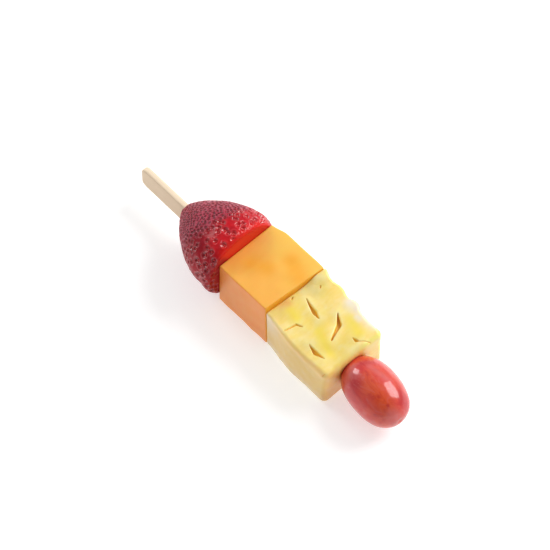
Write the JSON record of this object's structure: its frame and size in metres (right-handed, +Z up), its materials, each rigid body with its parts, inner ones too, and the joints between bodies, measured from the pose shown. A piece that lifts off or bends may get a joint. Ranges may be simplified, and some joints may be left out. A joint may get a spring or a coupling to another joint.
{
  "type": "fruit skewer",
  "caption": "Strawberry, melon, pineapple and grape threaded along a flat wooden stick with a bare end to hold, lying on its side.",
  "frame": {"origin": "middle of the footprint, on the surface that the skewer lies on", "axes": "+X runs along the stick from its bare end to the grape, +Z is up, and +Y crosses the stick"},
  "size_m": [0.1298, 0.032, 0.0299],
  "materials": {
    "wood": "plain sanded pale wood",
    "strawberry": "wet, pitted with seeds",
    "melon": "moist, knife cut",
    "pineapple": "moist, fibrous",
    "grape": "glossy skin"
  },
  "bodies": {
    "root": {"stick": "wood", "strawberry": "strawberry", "melon": "melon", "pineapple": "pineapple", "grape": "grape"}
  },
  "joints": []
}
